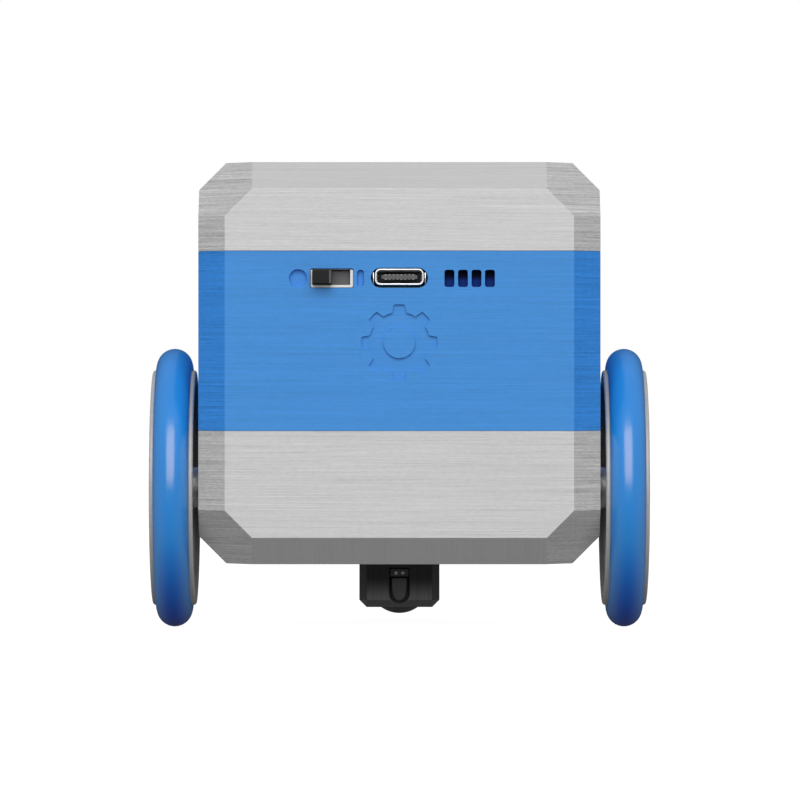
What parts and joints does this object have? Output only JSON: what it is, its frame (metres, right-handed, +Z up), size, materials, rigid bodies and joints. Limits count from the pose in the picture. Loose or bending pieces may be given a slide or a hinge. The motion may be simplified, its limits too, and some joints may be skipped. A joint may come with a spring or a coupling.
{
  "type": "wheeled educational robot",
  "caption": "Chamfered-cube educational robot on side wheels and a ball caster, with a rear power switch, charging socket, indicator windows and front distance sensors.",
  "frame": {"origin": "on the floor under the middle of the body", "axes": "+Z up, +Y forward (away from the switch panel), +X to the robot's right"},
  "size_m": [0.0922, 0.0781, 0.0864],
  "materials": {
    "shell_grey": "fine brushed-look moulded grain",
    "band_blue": "fine brushed-look moulded grain",
    "rim_grey": "satin",
    "tyre_blue": "satin silicone",
    "black_plastic": "satin",
    "slate_plastic": "satin",
    "window_navy": "smoked, glossy",
    "nickel_steel": "satin nickel",
    "screw_steel": "black zinc",
    "brass_metal": "turned",
    "motor_metal": "plated",
    "board_green": "solder mask",
    "gear_nylon": "moulded nylon",
    "cell_wrap": "heat-shrink sleeve",
    "lead_red": "PVC"
  },
  "bodies": {
    "chassis": {"lower_shell": "shell_grey", "mid_band": "band_blue", "upper_shell": "shell_grey", "lower_shell_screw_1": "screw_steel", "upper_shell_screw_1": "screw_steel", "lower_shell_screw_2": "screw_steel", "upper_shell_screw_2": "screw_steel", "lower_shell_screw_3": "screw_steel", "upper_shell_screw_3": "screw_steel", "lower_shell_screw_4": "screw_steel", "upper_shell_screw_4": "screw_steel", "main_board": "board_green", "board_screw_1": "nickel_steel", "board_screw_2": "nickel_steel", "switch_bezel": "nickel_steel", "switch_body": "slate_plastic", "usb_c_shell": "nickel_steel", "usb_c_tongue": "slate_plastic", "indicator_window_1": "window_navy", "indicator_window_2": "window_navy", "indicator_window_3": "window_navy", "indicator_window_4": "window_navy", "sonar_board": "board_green", "sonar_can_left": "nickel_steel", "sonar_can_right": "nickel_steel", "battery_tray": "black_plastic", "battery_cell": "cell_wrap", "battery_lead": "lead_red", "motor_can_left": "motor_metal", "motor_bracket_left": "black_plastic", "motor_lead_left": "lead_red", "axle_bushing_left": "brass_metal", "motor_can_right": "motor_metal", "motor_bracket_right": "black_plastic", "motor_lead_right": "lead_red", "axle_bushing_right": "brass_metal", "caster_housing": "black_plastic", "caster_screw_1": "nickel_steel", "caster_screw_2": "nickel_steel", "latch_plate": "black_plastic", "latch_rivet_1": "nickel_steel", "latch_rivet_2": "nickel_steel"},
    "left_wheel": {"wheel_rim_left": "rim_grey", "tyre_left": "tyre_blue", "axle_left": "nickel_steel", "wheel_screw_left": "nickel_steel", "drive_gear_left": "gear_nylon"},
    "left_pinion": {"motor_pinion_left": "brass_metal", "motor_shaft_left": "nickel_steel"},
    "right_wheel": {"wheel_rim_right": "rim_grey", "tyre_right": "tyre_blue", "axle_right": "nickel_steel", "wheel_screw_right": "nickel_steel", "drive_gear_right": "gear_nylon"},
    "right_pinion": {"motor_pinion_right": "brass_metal", "motor_shaft_right": "nickel_steel"},
    "power_knob": {"switch_knob": "black_plastic"},
    "ball": {"caster_ball": "black_plastic"},
    "latch": {"latch_tongue": "black_plastic"}
  },
  "joints": [
    {"name": "left_wheel_spin", "type": "hinge", "parent": "chassis", "child": "left_wheel", "pos_m": [-0.04212, -0.01, 0.02605], "axis": [1, 0, 0], "continuous": true},
    {"name": "left_pinion_spin", "type": "hinge", "parent": "chassis", "child": "left_pinion", "pos_m": [-0.0309, -0.01, 0.03805], "axis": [1, 0, 0], "continuous": true},
    {"name": "right_wheel_spin", "type": "hinge", "parent": "chassis", "child": "right_wheel", "pos_m": [0.04212, -0.01, 0.02605], "axis": [1, 0, 0], "continuous": true},
    {"name": "right_pinion_spin", "type": "hinge", "parent": "chassis", "child": "right_pinion", "pos_m": [0.0309, -0.01, 0.03805], "axis": [1, 0, 0], "continuous": true},
    {"name": "power_switch_slide", "type": "slide", "parent": "chassis", "child": "power_knob", "axis": [1, 0, 0], "range_m": [0, 0.0032]},
    {"name": "caster_ball_roll", "type": "hinge", "parent": "chassis", "child": "ball", "pos_m": [0, 0.023, 0.00707], "axis": [1, 0, 0], "continuous": true},
    {"name": "latch_press", "type": "hinge", "parent": "chassis", "child": "latch", "pos_m": [0, 0.0135, 0.0082], "axis": [1, 0, 0], "range_deg": [0, 12], "stiffness_Nm_per_rad": 0.005}
  ],
  "couplings": [
    {"joint": "left_pinion_spin", "follows": "left_wheel_spin", "ratio": -3},
    {"joint": "right_pinion_spin", "follows": "right_wheel_spin", "ratio": -3}
  ]
}
